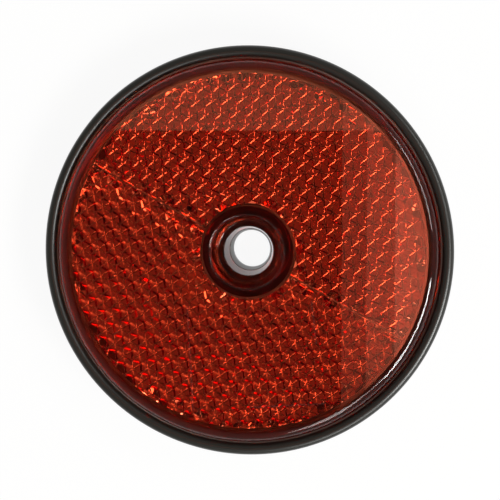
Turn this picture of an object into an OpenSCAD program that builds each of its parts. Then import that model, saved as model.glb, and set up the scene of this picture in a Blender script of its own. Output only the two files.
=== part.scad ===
// Round screw-on reflector: a clear red moulded lens in a black moulded housing.
// Millimetres. The rear mounting face lies on z = 0, +Z points out of the front, and Z is the screw axis.

/* [Lens] */
// Outer diameter of the lens
lens_d = 56; // [50:0.5:64]
// Height of the lens from the seat it stands on to its front face
lens_h = 5.5; // [5:0.1:8]
// Thickness of the flat front plate, without the prisms
plate_t = 2; // [1.5:0.1:2.4]
// Radius of the rounded shoulder round the front
shoulder_r = 1.6; // [0.8:0.1:1.9]
// Thickness of the skirt that drops into the housing
skirt_t = 1.4; // [1:0.1:1.8]

/* [Lens boss] */
// Outer diameter of the hollow boss in the middle
boss_d = 13.3; // [12.4:0.1:16]
// Diameter of the screw-head recess at the front face
recess_mouth_d = 10.6; // [9.6:0.1:11]
// Diameter of the screw-head recess at its floor
recess_floor_d = 9; // [8:0.1:9.4]
// Depth of the screw-head recess
recess_depth = 2.6; // [2:0.1:3.4]
// Rounding of the recess mouth
mouth_round = 0.4; // [0.2:0.05:0.6]
// Diameter of the lens bore at the recess floor
lens_bore_top_d = 7.2; // [6.6:0.1:7.6]
// Diameter of the lens bore at the seat
lens_bore_low_d = 6.2; // [6:0.1:6.5]

/* [Prisms] */
// Distance between neighbouring prism centres
prism_pitch = 2.32; // [2.1:0.01:2.6]
// Radial band left clear between the prism field and the skirt
field_margin = 0.6; // [0.3:0.1:2]
// Ring left clear round the boss
boss_margin = 0.4; // [0.2:0.1:2]
// Width of the plain land between the two prism halves
seam_land = 0.3; // [0.2:0.05:1]
// Direction of the land between the halves, in degrees from +X
seam_angle = -34; // [-90:1:90]

/* [Housing] */
// Thickness of the back plate
back_t = 1.5; // [1:0.1:2]
// Height of the ledge and the centre seat above the rear face
seat_h = 2.9; // [2.4:0.1:4]
// Width of the ledge under the skirt
ledge_w = 1.8; // [1.4:0.1:3]
// Thickness of the rim wall
wall_t = 1.3; // [1:0.1:1.5]
// Height of the rim, to the top of its bead
rim_h = 7; // [6:0.1:7.6]
// Width of the rounded bead on top of the rim
bead_w = 1.7; // [1.6:0.1:2]
// Step from the rim's inner wall back to the bead
bead_step = 0.2; // [0.1:0.05:0.3]
// Rounding of the rear edge
rear_round = 0.8; // [0.4:0.1:1]
// Diameter of the screw hole in the back plate
screw_hole_d = 5.5; // [5.3:0.1:5.8]
// Diameter of the screw hole's funnel at the seat
funnel_d = 6.1; // [6:0.1:6.4]
// Radial gap between the lens and the rim wall
lens_gap = 0.1; // [0.05:0.05:0.2]

/* [Hidden] */
$fn = 96;
arc_steps = 8;

lens_r = lens_d / 2;
boss_r = boss_d / 2;
skirt_in_r = lens_r - skirt_t;
front_z = seat_h + lens_h;
plate_z = front_z - plate_t;
recess_z = front_z - recess_depth;

pocket_r = lens_r + lens_gap;
wall_r = pocket_r + wall_t;
ledge_in_r = pocket_r - ledge_w;
bead_r = bead_w / 2;
bead_c = pocket_r + bead_step + bead_r;
bead_z = rim_h - bead_r;

// The prisms are corner cubes. Their edges all have one length, and every corner lies on one of three levels.
cell_r = prism_pitch / sqrt(3);
level_h = prism_pitch / sqrt(6);
valley_drop = 0.12;
top_level_z = plate_z - valley_drop;
embed = plate_t / 2;
field_out_r = skirt_in_r - field_margin;
field_in_r = boss_r + boss_margin;

// Points on an arc about c from angle a to angle b
function arc(c, r, a, b, n = arc_steps) =
    [for (i = [0 : n]) let (t = a + (b - a) * i / n) c + r * [cos(t), sin(t)]];

// Angle below the horizontal at which the bead's circle meets the outer wall
bead_start = -acos((wall_r - bead_c) / bead_r);

module housing() {
    color("#262625") rotate_extrude() polygon(concat(
        [[screw_hole_d / 2, 0]],
        arc([wall_r - rear_round, rear_round], rear_round, -90, 0),
        arc([bead_c, bead_z], bead_r, bead_start, 180, 3 * arc_steps),
        [[pocket_r, bead_z - bead_step],
         [pocket_r, seat_h],
         [ledge_in_r, seat_h],
         [ledge_in_r, back_t],
         [boss_r, back_t],
         [boss_r, seat_h],
         [funnel_d / 2, seat_h],
         [screw_hole_d / 2, back_t]]
    ));
}

// The lens without its prisms: front plate, shoulder, skirt, and the boss with its recess and bore
module lens_shell() {
    rotate_extrude() polygon(concat(
        [[lens_bore_low_d / 2, seat_h],
         [boss_r, seat_h],
         [boss_r, plate_z],
         [skirt_in_r, plate_z],
         [skirt_in_r, seat_h],
         [lens_r, seat_h]],
        arc([lens_r - shoulder_r, front_z - shoulder_r], shoulder_r, 0, 90),
        arc([recess_mouth_d / 2 + mouth_round, front_z - mouth_round], mouth_round, 90, 180, 4),
        [[recess_floor_d / 2, recess_z],
         [lens_bore_top_d / 2, recess_z]]
    ));
}

// Corner cubes as a staircase of equal cubes standing on their corners. The points (u, v) of a triangular grid
// take the levels 0, 1, 2 in turn: level 0 is the rearmost corner in the middle of each cube, 2 the valley.
grid_n = ceil((field_out_r + 2 * cell_r) / (cell_r * cos(30)));
grid_w = 2 * grid_n + 1;
function grid_index(u, v) = (u + grid_n) * grid_w + v + grid_n;
function level(u, v) = (u - v + 3 * grid_n) % 3;
function grid_xy(u, v) = cell_r * [u * cos(30), u * sin(30) + v];

// The six neighbours of a grid point, counter-clockwise from 30 degrees; those at even places lie one level up
around = [[1, 0], [0, 1], [-1, 1], [-1, 0], [0, -1], [1, -1]];

// Distance of a grid point from the line between the halves
function from_seam(u, v) = grid_xy(u, v) * [-sin(seam_angle), cos(seam_angle)];

// A cube belongs to the field if some of it can lie within the half disc
function in_field(u, v) = level(u, v) == 0 && norm(grid_xy(u, v)) < field_out_r + cell_r
    && norm(grid_xy(u, v)) > field_in_r - cell_r && from_seam(u, v) > -cell_r;

module cube_staircase() {
    low = [for (u = [-grid_n : grid_n]) for (v = [-grid_n : grid_n])
        concat(grid_xy(u, v), top_level_z - (2 - level(u, v)) * level_h)];
    high = [for (p = low) [p[0], p[1], plate_z + embed]];
    top = len(low);
    cells = [for (u = [1 - grid_n : grid_n - 1]) for (v = [1 - grid_n : grid_n - 1])
        if (in_field(u, v)) [u, v]];
    near = function(c, k) c + around[k % 6];
    at = function(c) grid_index(c[0], c[1]);
    // The cell on the far side of the edge between corners k and k + 1
    across = function(c, k) c + around[k] + around[(k + 1) % 6];
    polyhedron(
        points = concat(low, high),
        faces = concat(
            [for (c = cells) for (k = [0 : 2 : 4])
                [at(c), at(near(c, k)), at(near(c, k + 1)), at(near(c, k + 2))]],
            [for (c = cells) [for (k = [5 : -1 : 0]) top + at(near(c, k))]],
            [for (c = cells) for (k = [0 : 5]) let (d = across(c, k)) if (!in_field(d[0], d[1]))
                [at(near(c, k)), top + at(near(c, k)), top + at(near(c, k + 1)), at(near(c, k + 1))]]
        ));
}

// One half of the prism field, cut to the rim, the boss and the land along its straight side
module prism_half() {
    intersection() {
        cube_staircase();
        translate([0, 0, seat_h]) linear_extrude(front_z - seat_h) difference() {
            circle(field_out_r);
            circle(field_in_r);
            rotate(seam_angle) translate([-lens_d, seam_land / 2 - 2 * lens_d]) square(2 * lens_d);
        }
    }
}

module lens() {
    color("#b01810") union() {
        lens_shell();
        for (turn = [0, 180]) rotate(turn) prism_half();
    }
}

housing();
lens();
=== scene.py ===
import math

import bpy
import numpy as np
from mathutils import Matrix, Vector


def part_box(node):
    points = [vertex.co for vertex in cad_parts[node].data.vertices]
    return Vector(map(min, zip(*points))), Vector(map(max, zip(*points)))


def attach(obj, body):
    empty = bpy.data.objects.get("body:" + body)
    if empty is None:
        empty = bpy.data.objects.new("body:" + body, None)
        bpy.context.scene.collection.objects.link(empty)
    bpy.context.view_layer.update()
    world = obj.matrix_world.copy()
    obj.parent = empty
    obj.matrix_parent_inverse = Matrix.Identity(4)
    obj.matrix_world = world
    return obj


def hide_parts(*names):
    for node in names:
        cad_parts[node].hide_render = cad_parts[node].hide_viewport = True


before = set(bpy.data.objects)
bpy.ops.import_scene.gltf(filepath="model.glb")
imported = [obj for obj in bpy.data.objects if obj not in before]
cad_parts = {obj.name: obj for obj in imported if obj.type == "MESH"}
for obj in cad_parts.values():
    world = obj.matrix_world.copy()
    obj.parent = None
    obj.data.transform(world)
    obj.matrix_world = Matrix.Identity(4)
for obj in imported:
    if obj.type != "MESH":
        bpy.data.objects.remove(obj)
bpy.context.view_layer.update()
mm = 0.001
zAxis = np.array([0.0, 0.0, 1.0])

# Sizes in millimetres, read from the two CAD nodes where the frame gives them
housingLow, housingHigh = (np.array(corner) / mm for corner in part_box("housing"))
lensLow, lensHigh = (np.array(corner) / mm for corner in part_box("lens"))
rimRadius = housingHigh[0]
rimTop = housingHigh[2]
lensRadius = lensHigh[0]
frontZ = lensHigh[2]
seatZ = lensLow[2]
turnSteps = 240      # steps round every turned surface
arcSteps = 10        # steps in a quarter round


# Small helpers for profiles and meshes

def arc(centre, radius, start, end, steps=arcSteps):
    # a point on a circle about the centre, its angle running evenly from start to end in degrees
    angle = np.radians(np.linspace(start, end, steps + 1))
    return np.stack([centre[0] + radius * np.cos(angle), centre[1] + radius * np.sin(angle)], axis=1)


def gridFaces(rows, columns, wrapRows, wrapColumns):
    # the four corners of every cell of a grid of points, numbered row by row
    i, j = np.meshgrid(np.arange(rows if wrapRows else rows - 1),
                       np.arange(columns if wrapColumns else columns - 1), indexing="ij")
    a, b = i * columns + j, i * columns + (j + 1) % columns
    c, d = (i + 1) % rows * columns + (j + 1) % columns, (i + 1) % rows * columns + j
    return np.stack([a, b, c, d], axis=-1).reshape(-1, 4)


def makeMesh(name, points, faces):
    # points in millimetres go into a mesh in metres; every face has the same number of corners
    mesh = bpy.data.meshes.new(name)
    corners = faces.shape[1]
    mesh.vertices.add(len(points))
    mesh.vertices.foreach_set("co", (np.asarray(points) * mm).astype(np.float32).ravel())
    mesh.loops.add(faces.size)
    mesh.loops.foreach_set("vertex_index", faces.astype(np.int32).ravel())
    mesh.polygons.add(len(faces))
    mesh.polygons.foreach_set("loop_start", np.arange(0, faces.size, corners, dtype=np.int32))
    mesh.update(calc_edges=True)
    mesh.validate()
    obj = bpy.data.objects.new(name, mesh)
    bpy.context.scene.collection.objects.link(obj)
    return obj


def revolve(profile, steps=turnSteps):
    # a closed profile of (radius, height), counter-clockwise, carried round Z:
    # x = r cos t, y = r sin t, z = h
    turn = 2 * np.pi * np.arange(steps) / steps
    points = np.stack([profile[None, :, 0] * np.cos(turn)[:, None],
                       profile[None, :, 0] * np.sin(turn)[:, None],
                       np.broadcast_to(profile[None, :, 1], (steps, len(profile)))], axis=-1)
    return points.reshape(-1, 3), gridFaces(steps, len(profile), True, True)[:, ::-1]


def cutMesh(obj, other, operation):
    # joins or cuts two closed meshes, and leaves the result on the first
    step = obj.modifiers.new(operation.title(), "BOOLEAN")
    step.operation, step.object, step.solver = operation, other, "MANIFOLD"
    graph = bpy.context.evaluated_depsgraph_get()
    result = bpy.data.meshes.new_from_object(obj.evaluated_get(graph), depsgraph=graph)
    obj.modifiers.clear()
    obj.data = result
    bpy.data.objects.remove(other)


def shadeSmooth(obj, flatNormals=None, creaseAngle=30.0):
    # smooth shading apart from creases, and apart from faces that lie square to one of flatNormals
    mesh = obj.data
    mesh.set_sharp_from_angle(angle=math.radians(creaseAngle))
    smooth = np.ones(len(mesh.polygons), bool)
    if flatNormals is not None:
        normals = np.empty(3 * len(mesh.polygons), np.float32)
        mesh.polygons.foreach_get("normal", normals)
        smooth = np.abs(normals.reshape(-1, 3) @ flatNormals.T).max(axis=1) < 0.9995
    mesh.polygons.foreach_set("use_smooth", smooth)


# Housing

housing = {
    "wall": 1.3,            # thickness of the rim wall
    "bead": 1.7,            # width of the rounded bead on the rim
    "beadStep": 0.2,        # from the inner wall back to the bead
    "lensGap": 0.1,         # between lens and rim wall
    "back": 1.5,            # thickness of the back plate
    "ledge": 1.8,           # width of the ledge under the skirt
    "seat": 6.65,           # outer radius of the centre seat
    "hole": 2.75,           # radius of the screw hole
    "funnel": 3.05,         # radius of the hole at the seat
    "rearRound": 0.8,       # rounding of the rear edge
    "softEdge": 0.12,       # rounding of moulded corners
}


def housingProfile(p):
    # the half section of the housing, with each arris broken by a small round
    pocket = lensRadius + p["lensGap"]
    wall = pocket + p["wall"]
    bead = p["bead"] / 2
    beadAt = (pocket + p["beadStep"] + bead, rimTop - bead)
    start = -math.degrees(math.acos((wall - beadAt[0]) / bead))
    ledge = pocket - p["ledge"]
    e = p["softEdge"]
    return np.concatenate([
        arc((p["hole"] + e, e), e, 180, 270, 4),
        arc((wall - p["rearRound"], p["rearRound"]), p["rearRound"], -90, 0),
        arc(beadAt, bead, start, 180, 3 * arcSteps),
        [(pocket, beadAt[1] - p["beadStep"]), (pocket, seatZ), (ledge, seatZ), (ledge, p["back"]),
         (p["seat"], p["back"]), (p["seat"], seatZ), (p["funnel"], seatZ), (p["hole"], p["back"])],
    ])


outline = housingProfile(housing)
housingPoints, housingFaces = revolve(outline)
housingPiece = makeMesh("housing_moulding", housingPoints, housingFaces)
shadeSmooth(housingPiece)
# the second material, a grey painted much lighter than the black plastic to stand in for light inside the
# lens, takes the faces from the groove inwards to the centre seat
inside = np.isin(np.arange(len(outline)), len(outline) - np.arange(5, 10))
housingPiece.data.polygons.foreach_set("material_index", np.tile(inside, turnSteps).astype(np.int32))
print("housing:", len(housingFaces), "faces")


# Lens

lens = {
    "plate": 2.0,           # thickness of the front plate
    "shoulder": 1.6,        # rounded shoulder round the front
    "skirt": 1.4,           # thickness of the skirt
    "boss": 6.65,           # outer radius of the boss
    "mouth": 5.3,           # radius of the recess at the front
    "mouthRound": 0.4,
    "floor": 4.5,           # radius of the recess floor
    "depth": 2.6,           # depth of the recess
    "boreTop": 3.6,         # bore radius at the recess floor
    "boreLow": 3.1,         # bore radius at the seat
    "softEdge": 0.15,
    "footGap": 0.03,        # air under the feet of boss and skirt
}


def lensProfile(p):
    # the half section of the lens without its prisms
    skirtIn = lensRadius - p["skirt"]
    plateZ = frontZ - p["plate"]
    floorZ = frontZ - p["depth"]
    footZ = seatZ + p["footGap"]
    e = p["softEdge"]
    return np.concatenate([
        [(p["boreLow"], footZ), (p["boss"], footZ), (p["boss"], plateZ), (skirtIn, plateZ), (skirtIn, footZ)],
        [(lensRadius, footZ)],
        arc((lensRadius - p["shoulder"], frontZ - p["shoulder"]), p["shoulder"], 0, 90),
        arc((p["mouth"] + p["mouthRound"], frontZ - p["mouthRound"]), p["mouthRound"], 90, 180),
        arc((p["floor"] - e, floorZ + e), e, 0, -90, 4),
        arc((p["boreTop"] + e, floorZ - e), e, 90, 180, 4),
    ])


prisms = {
    "pitch": 2.32,          # between neighbouring cube corners
    "ridge": 0.18,          # radius of the polished edges that meet at a cube's tip
    "valley": 0.02,         # radius of the sharp edges between neighbouring cubes
    "drop": 0.12,           # from the plate down to the highest level
    "margin": 0.6,          # clear band inside the skirt
    "bossMargin": 0.4,      # clear ring round the boss
    "land": 0.3,            # plain strip between the two halves
    "seam": -34.0,          # its direction in degrees
    "embed": 0.8,           # how far the prisms' block reaches into the plate
}


def cubeStaircase(p, fieldOut, fieldIn, plateZ):
    # Each cell is the corner of a cube that stands on its tip. Its three faces are
    # tip + s * edge[k] + t * edge[k + 1], with s and t at six places from 0 to the edge's length,
    # so that a face has a flat middle and rounded borders.
    pitch, ridge, valley = p["pitch"], p["ridge"], p["valley"]
    side = pitch / math.sqrt(2)
    level = pitch / math.sqrt(6)
    around = np.radians([30, 150, 270])
    edge = np.stack([np.cos(around) * math.sqrt(2 / 3), np.sin(around) * math.sqrt(2 / 3),
                     np.full(3, 1 / math.sqrt(3))], axis=1)
    count = int(math.ceil(fieldOut / pitch * 1.2)) + 2
    i, j = np.meshgrid(np.arange(-count, count + 1), np.arange(-count, count + 1), indexing="ij")
    centre = np.stack([pitch * (i + j / 2), pitch * j * math.sqrt(3) / 2], axis=-1).reshape(-1, 2)
    reach = pitch / math.sqrt(3)
    seam = math.radians(p["seam"])
    across = centre @ np.array([-math.sin(seam), math.cos(seam)])
    distance = np.hypot(centre[:, 0], centre[:, 1])
    keep = (distance < fieldOut + reach) & (distance > fieldIn - reach) & (across > -reach)
    centre = centre[keep]
    tip = np.concatenate([centre, np.full((len(centre), 1), plateZ - p["drop"] - 2 * level)], axis=1)

    # shares of a round's radius: 1 - sin 22.5 along the face, and 1 - cos 45 and 1 - cos 22.5 off it
    beside, crest, slope = 0.617, 0.293, 0.076
    # along a face: places, how far an outer row is pushed in, and how far it is lifted off the face
    place = np.array([0, beside * ridge, ridge, side - valley, side - beside * valley, side])
    inward = crest * np.array([ridge, 0, 0, 0, 0, -valley])
    lift = np.array([crest * ridge, slope * ridge, 0, 0, -slope * valley, -crest * valley])
    fade = np.array([0, beside, 1, 1, beside, 0])
    s, t = np.meshgrid(np.arange(6), np.arange(6), indexing="ij")
    along = place[s] + inward[s] * fade[t]
    over = place[t] + inward[t] * fade[s]
    off = lift[s] * fade[t] + lift[t] * fade[s]
    points = []
    for k in range(3):
        face = (along[..., None] * edge[k] + over[..., None] * edge[(k + 1) % 3]
                + off[..., None] * edge[(k + 2) % 3])
        points.append(tip[:, None, None, :] + face[None])
    points = np.stack(points, axis=1).reshape(-1, 36, 3)          # face by face
    quads = gridFaces(6, 6, False, False)
    quads = (quads[None] + 36 * np.arange(len(points))[:, None, None]).reshape(-1, 4)
    return points.reshape(-1, 3), quads, edge


def weld(points, faces, grain=1e-5):
    # points that fall on the same place become one
    key = np.round(points / grain).astype(np.int64)
    _, first, back = np.unique(key, axis=0, return_index=True, return_inverse=True)
    return points[first], back.reshape(-1)[faces]


def closeUpwards(points, faces, topZ):
    # copies the sheet straight up to topZ with its faces turned over, and walls in its outline
    edges = np.concatenate([faces[:, [0, 1]], faces[:, [1, 2]], faces[:, [2, 3]], faces[:, [3, 0]]])
    keys = edges[:, 0].astype(np.int64) * len(points) + edges[:, 1]
    twins = edges[:, 1].astype(np.int64) * len(points) + edges[:, 0]
    rim = edges[~np.isin(keys, twins)]
    top = points.copy()
    top[:, 2] = topZ
    n = len(points)
    walls = np.stack([rim[:, 1], rim[:, 0], rim[:, 0] + n, rim[:, 1] + n], axis=1)
    return np.concatenate([points, top]), np.concatenate([faces, faces[:, ::-1] + n, walls])


def halfRing(inner, outer, setBack, seam, lowZ, highZ):
    # a closed block, half a ring in plan: two arcs that end on a line set back from the seam
    a = math.degrees(math.asin(setBack / outer))
    b = math.degrees(math.asin(setBack / inner))
    ring = np.concatenate([arc((0, 0), outer, seam + a, seam + 180 - a, turnSteps),
                           arc((0, 0), inner, seam + 180 - b, seam + b, turnSteps)])
    half = turnSteps + 1
    low = np.concatenate([ring, np.full((2 * half, 1), lowZ)], axis=1)
    high = np.concatenate([ring, np.full((2 * half, 1), highZ)], axis=1)
    k = np.arange(half - 1)
    strip = np.stack([k, 2 * half - 1 - k, 2 * half - 2 - k, k + 1], axis=1)
    m = np.arange(2 * half)
    sides = np.stack([m, (m + 1) % (2 * half), (m + 1) % (2 * half) + 2 * half, m + 2 * half], axis=1)
    faces = np.concatenate([strip, strip[:, ::-1] + 2 * half, sides])
    return makeMesh("half_ring", np.concatenate([low, high]), faces)


plateZ = frontZ - lens["plate"]
fieldOut = lensRadius - lens["skirt"] - prisms["margin"]
fieldIn = lens["boss"] + prisms["bossMargin"]
lensPoints, lensFaces = revolve(lensProfile(lens))
lensPiece = makeMesh("lens_moulding", lensPoints, lensFaces)

sheetPoints, sheetQuads, cubeEdge = cubeStaircase(prisms, fieldOut, fieldIn, plateZ)
sheetPoints, sheetQuads = weld(sheetPoints, sheetQuads)
blockPoints, blockFaces = closeUpwards(sheetPoints, sheetQuads, plateZ + lens["plate"] / 2)
# the two halves are one block of cubes, put in place as it is and turned by 180 degrees
for turn in (0, 180):
    c, s = math.cos(math.radians(turn)), math.sin(math.radians(turn))
    spin = np.array([[c, s, 0], [-s, c, 0], [0, 0, 1]])
    block = makeMesh("prisms_%d" % turn, blockPoints @ spin, blockFaces)
    ring = halfRing(fieldIn, fieldOut, prisms["land"] / 2, prisms["seam"] + turn, seatZ,
                    plateZ + prisms["embed"])
    cutMesh(block, ring, "INTERSECT")
    cutMesh(lensPiece, block, "UNION")


# Three fine straight lines in the front face, perhaps the border of a mould insert
insertLines = {
    "width": 0.2,           # across the groove at the face
    "depth": 0.06,
    "lines": [              # start and end, in mm from the screw axis
        ((-9.4, -7.2), (-9.85, -22.6)),
        ((8.8, -7.7), (9.0, -14.2)),
        ((-1.6, -22.65), (9.6, -22.9)),
    ],
}


def cutLine(obj, start, end, p):
    # a V groove from start to end: a three-sided bar, point down, with its middle height in the front face
    start, end = np.array(start), np.array(end)
    side = (end - start) @ np.array([[0, 1], [-1, 0]]) / np.linalg.norm(end - start) * p["width"]
    section = ((1, 1), (-1, 1), (0, -1))
    points = [(*(at + s * side), frontZ + h * p["depth"]) for at in (start, end) for s, h in section]
    sides = [face for a, b in ((0, 1), (1, 2), (2, 0)) for face in ((a, b, b + 3), (a, b + 3, a + 3))]
    bar = makeMesh("bar", np.array(points), np.array([(0, 2, 1), (3, 4, 5)] + sides))
    cutMesh(obj, bar, "DIFFERENCE")


for start, end in insertLines["lines"]:
    cutLine(lensPiece, start, end, insertLines)
shadeSmooth(lensPiece, np.concatenate([cubeEdge, cubeEdge @ spin, [zAxis]]))
print("lens:", len(lensPiece.data.polygons), "faces")


# Materials

def linear(hexColour):
    # an sRGB hex colour as the linear values that a shader wants
    parts = [int(hexColour[i:i + 2], 16) / 255 for i in (1, 3, 5)]
    return [c / 12.92 if c <= 0.04045 else ((c + 0.055) / 1.055) ** 2.4 for c in parts] + [1.0]


def newMaterial(name):
    material = bpy.data.materials.new(name)
    material.use_nodes = True
    material.node_tree.nodes.clear()
    return material


def addNode(owner, kind, settings=None, links=None, **values):
    # a node of this kind, its properties, its plain inputs by name, and its linked inputs
    node = owner.node_tree.nodes.new(kind)
    for key, value in (settings or {}).items():
        setattr(node, key, value)
    for key, value in values.items():
        node.inputs[key.replace("_", " ")].default_value = value
    for key, source in (links or {}).items():
        owner.node_tree.links.new(source, node.inputs[key])
    return node


acrylic = {
    "ior": 1.49,
    "passes": (0.953, 0.37, 0.1, 1),        # linear, what the dye lets through
    "density": 520.0,                       # per metre; both tuned to the picture
}


def clearRedAcrylic(p):
    # injection moulded acrylic, dyed through: polished faces, and the colour comes from its depth
    m = newMaterial("clear_red_acrylic_moulded")
    shader = addNode(m, "ShaderNodeBsdfPrincipled", Base_Color=(1, 1, 1, 1), Roughness=0.0, IOR=p["ior"],
                     Transmission_Weight=1.0)
    depth = addNode(m, "ShaderNodeVolumeAbsorption", Color=p["passes"], Density=p["density"])
    addNode(m, "ShaderNodeOutputMaterial", links={"Surface": shader.outputs[0], "Volume": depth.outputs[0]})
    return m


plastic = {
    "ior": 1.53,
    "grain": 0.35,          # width of the surface's fine unevenness, in mm
    "relief": 0.02,         # its height, in mm
    "amount": 0.05,         # how much of it shows
}


def housingPlastic(name, colour, roughness, p):
    # ABS as it leaves the mould, over a very fine unevenness
    m = newMaterial(name)
    where = addNode(m, "ShaderNodeTexCoord")
    grain = addNode(m, "ShaderNodeTexNoise", Scale=1 / (p["grain"] * mm), Detail=3.0,
                    links={"Vector": where.outputs["Object"]})
    bump = addNode(m, "ShaderNodeBump", Strength=p["amount"], Distance=p["relief"] * mm,
                   links={"Height": grain.outputs[0]})
    shader = addNode(m, "ShaderNodeBsdfPrincipled", Base_Color=linear(colour), Roughness=roughness,
                     IOR=p["ior"], links={"Normal": bump.outputs[0]})
    addNode(m, "ShaderNodeOutputMaterial", links={"Surface": shader.outputs[0]})
    return m


lensPiece.data.materials.clear()
lensPiece.data.materials.append(clearRedAcrylic(acrylic))
housingPiece.data.materials.append(housingPlastic("black_abs_soft_gloss", "#1f1f1c", 0.32, plastic))
# The inside shows only through the lens. Its grey is painted light: much lighter than black plastic really
# is, standing in for the red glow of light inside the lens, because a black one left the seam, the edge cells
# and the band darker than they look.
housingPiece.data.materials.append(housingPlastic("grey_inside_painted_glow", "#84827c", 0.85, plastic))
for piece, node in ((lensPiece, "lens"), (housingPiece, "housing")):
    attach(piece, "root")
    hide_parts(node)


# Floor, light and camera

stageSet = {
    "floorSize": 4.0,       # metres
    "gap": 0.05,            # mm of air under the rear face, so that the two planes stay apart
    "colour": "#f2f2f0",
    "whiteShare": 0.93,     # the rest is matte, and keeps the object's shadow
}


def paleFloor(p):
    # white to the camera, in reflections and through clear pieces, and matte to all other light
    m = newMaterial("pale_floor")
    ray = addNode(m, "ShaderNodeLightPath")
    mirrored = addNode(m, "ShaderNodeMath", {"operation": "MAXIMUM"},
                       {0: ray.outputs["Is Camera Ray"], 1: ray.outputs["Is Glossy Ray"]})
    seen = addNode(m, "ShaderNodeMath", {"operation": "MAXIMUM"},
                   {0: mirrored.outputs[0], 1: ray.outputs["Is Transmission Ray"]})
    share = addNode(m, "ShaderNodeMath", {"operation": "MULTIPLY"}, {0: seen.outputs[0]})
    share.inputs[1].default_value = p["whiteShare"]
    plain = addNode(m, "ShaderNodeBsdfDiffuse", Color=linear(p["colour"]))
    white = addNode(m, "ShaderNodeEmission", Color=(1, 1, 1, 1), Strength=1.0)
    both = addNode(m, "ShaderNodeMixShader",
                   links={0: share.outputs[0], 1: plain.outputs[0], 2: white.outputs[0]})
    addNode(m, "ShaderNodeOutputMaterial", links={"Surface": both.outputs[0]})
    return m


half = stageSet["floorSize"] / 2 / mm
corners = [(x * half, y * half, -stageSet["gap"]) for x, y in ((-1, -1), (1, -1), (1, 1), (-1, 1))]
floor = makeMesh("floor", np.array(corners), np.array([[0, 1, 2, 3]]))
floor.data.materials.append(paleFloor(stageSet))


def studioWorld(p):
    # bright walls under a dark ceiling: brightness follows the height of the direction looked in
    world = bpy.data.worlds.new("studio")
    bpy.context.scene.world = world
    world.use_nodes = True
    world.node_tree.nodes.clear()
    where = addNode(world, "ShaderNodeTexCoord")
    split = addNode(world, "ShaderNodeSeparateXYZ", links={"Vector": where.outputs["Generated"]})
    fade = addNode(world, "ShaderNodeMapRange", {"interpolation_type": "SMOOTHSTEP"},
                   {"Value": split.outputs["Z"]},
                   From_Min=math.cos(math.radians(p["fadeTo"])),
                   From_Max=math.cos(math.radians(p["fadeFrom"])),
                   To_Min=p["wall"], To_Max=p["ceiling"])
    light = addNode(world, "ShaderNodeBackground", Color=linear(p["colour"]),
                    links={"Strength": fade.outputs[0]})
    addNode(world, "ShaderNodeOutputWorld", links={"Surface": light.outputs[0]})


studioWorld({
    "ceiling": 0.03,        # brightness straight up
    "wall": 0.3,            # brightness low down
    "fadeFrom": 16,         # zenith angles between which the one turns into the other, in degrees
    "fadeTo": 40,
    "colour": "#fffaf2",
})

camera = {
    "distance": 400.0,      # from the point looked at, in mm
    "tilt": 7.5,            # off the screw axis
    "tiltTowards": 39.0,    # towards the picture's upper right, in degrees from its right
    "roll": 4.9,            # the lattice's turn in the picture, counter-clockwise
    "frameWidth": 73.0,     # picture width at the target's depth, in mm
    "aside": (0.26, 0.18),  # the picture's middle, right and up of the screw axis, in mm
    "targetDepth": 2.0,     # of the point looked at, under the front face
    "sensor": 36.0,
    "clipStart": 10.0,
}


def aim(obj, place, target, upHint):
    # local -Z looks from place to target, and local Y stays as near to upHint as it can
    place, target = np.array(place, float), np.array(target, float)
    back = (place - target) / np.linalg.norm(place - target)
    right = np.cross(upHint, back)
    right /= np.linalg.norm(right)
    up = np.cross(back, right)
    obj.matrix_world = Matrix(np.vstack([np.column_stack([right, up, back, place]), [0, 0, 0, 1]]).tolist())


def placeCamera(c):
    data = bpy.data.cameras.new("camera")
    obj = bpy.data.objects.new("camera", data)
    bpy.context.scene.collection.objects.link(obj)
    turn = math.radians(-c["roll"])
    right = np.array([math.cos(turn), math.sin(turn), 0])
    up = np.array([-math.sin(turn), math.cos(turn), 0])
    lean = math.radians(c["tilt"])
    way = math.radians(c["tiltTowards"])
    side = math.cos(way) * right + math.sin(way) * up
    middle = np.array([0, 0, frontZ - c["targetDepth"]])
    target = (middle + c["aside"][0] * right + c["aside"][1] * up) * mm
    place = target + c["distance"] * mm * (math.cos(lean) * zAxis + math.sin(lean) * side)
    aim(obj, place, target, up)
    data.sensor_width = c["sensor"]
    data.lens = c["sensor"] * c["distance"] / c["frameWidth"]
    data.clip_start = c["clipStart"] * mm
    bpy.context.scene.camera = obj
    return right, up


right, up = placeCamera(camera)


def inPicture(x, y, z):
    # a place given along the picture's right and up and the height over the floor, in metres
    return right * x + up * y + zAxis * z


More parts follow.
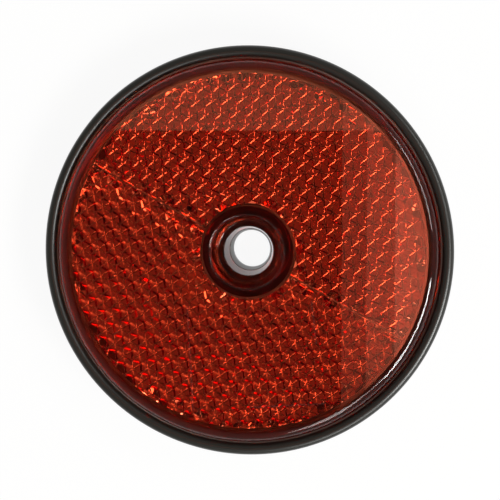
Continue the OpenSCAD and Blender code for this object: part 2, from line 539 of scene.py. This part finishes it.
def inSky(azimuth, zenith, distance):
    # a place in the sky: azimuth from the picture's right, zenith angle from straight up, both in degrees
    a, z = math.radians(azimuth), math.radians(zenith)
    return inPicture(distance * math.sin(z) * math.cos(a), distance * math.sin(z) * math.sin(a),
                     distance * math.cos(z))


def addLamp(name, place, target, size, strength, colour):
    # a rectangle that faces the target; strength is the brightness of its lit face
    lamp = bpy.data.lights.new(name, "AREA")
    lamp.shape = "RECTANGLE"
    lamp.size, lamp.size_y = size
    lamp.energy = strength * size[0] * size[1] * math.pi
    lamp.color = colour
    obj = bpy.data.objects.new(name, lamp)
    bpy.context.scene.collection.objects.link(obj)
    aim(obj, place, target, up)


# light passes many prism faces inside the clear lens before it comes out again
paths = bpy.context.scene.cycles
paths.max_bounces, paths.glossy_bounces, paths.transmission_bounces = 32, 24, 24

windowColour = (1.0, 1.0, 0.98)
cardColour = (1.0, 0.25, 0.14)
# The windows lie where the rounded prism edges send their light to the camera, and the cube faces
# return the lamp behind the camera. The cards are there for their reflection in the flat front face.
# The red of the cards and of that lamp is a fit to the picture.
lamps = [
    # name, place, width and height in metres, brightness of the lit face, colour
    ("window", inSky(-35, 47, 1.0), (0.28, 0.5), 20.5, windowColour),
    ("window_low", inSky(-72, 47, 1.0), (0.24, 0.5), 5.5, windowColour),
    ("window_side", inSky(21, 47, 1.0), (0.2, 0.5), 6.0, windowColour),
    ("behind_camera", inSky(camera["tiltTowards"], camera["tilt"], 1.0), (0.17, 0.17), 0.17, (1.0, 0.5, 0.5)),
    ("card_right", inPicture(-0.0095, -0.075, 1.0), (0.089, 0.21), 1.2, cardColour),
    ("card_right_middle", inPicture(-0.0045, -0.075, 1.01), (0.075, 0.21), 1.6, cardColour),
    ("card_right_outer", inPicture(0.0015, -0.075, 1.02), (0.059, 0.21), 2.6, (1.0, 0.27, 0.16)),
    ("card_top", inPicture(-0.085, 0.0012, 1.0), (0.21, 0.044), 1.3, (1.0, 0.45, 0.25)),
]
for name, place, size, brightness, colour in lamps:
    addLamp(name, place, (0, 0, 0), size, brightness, colour)

bpy.context.scene.view_settings.view_transform = "Standard"
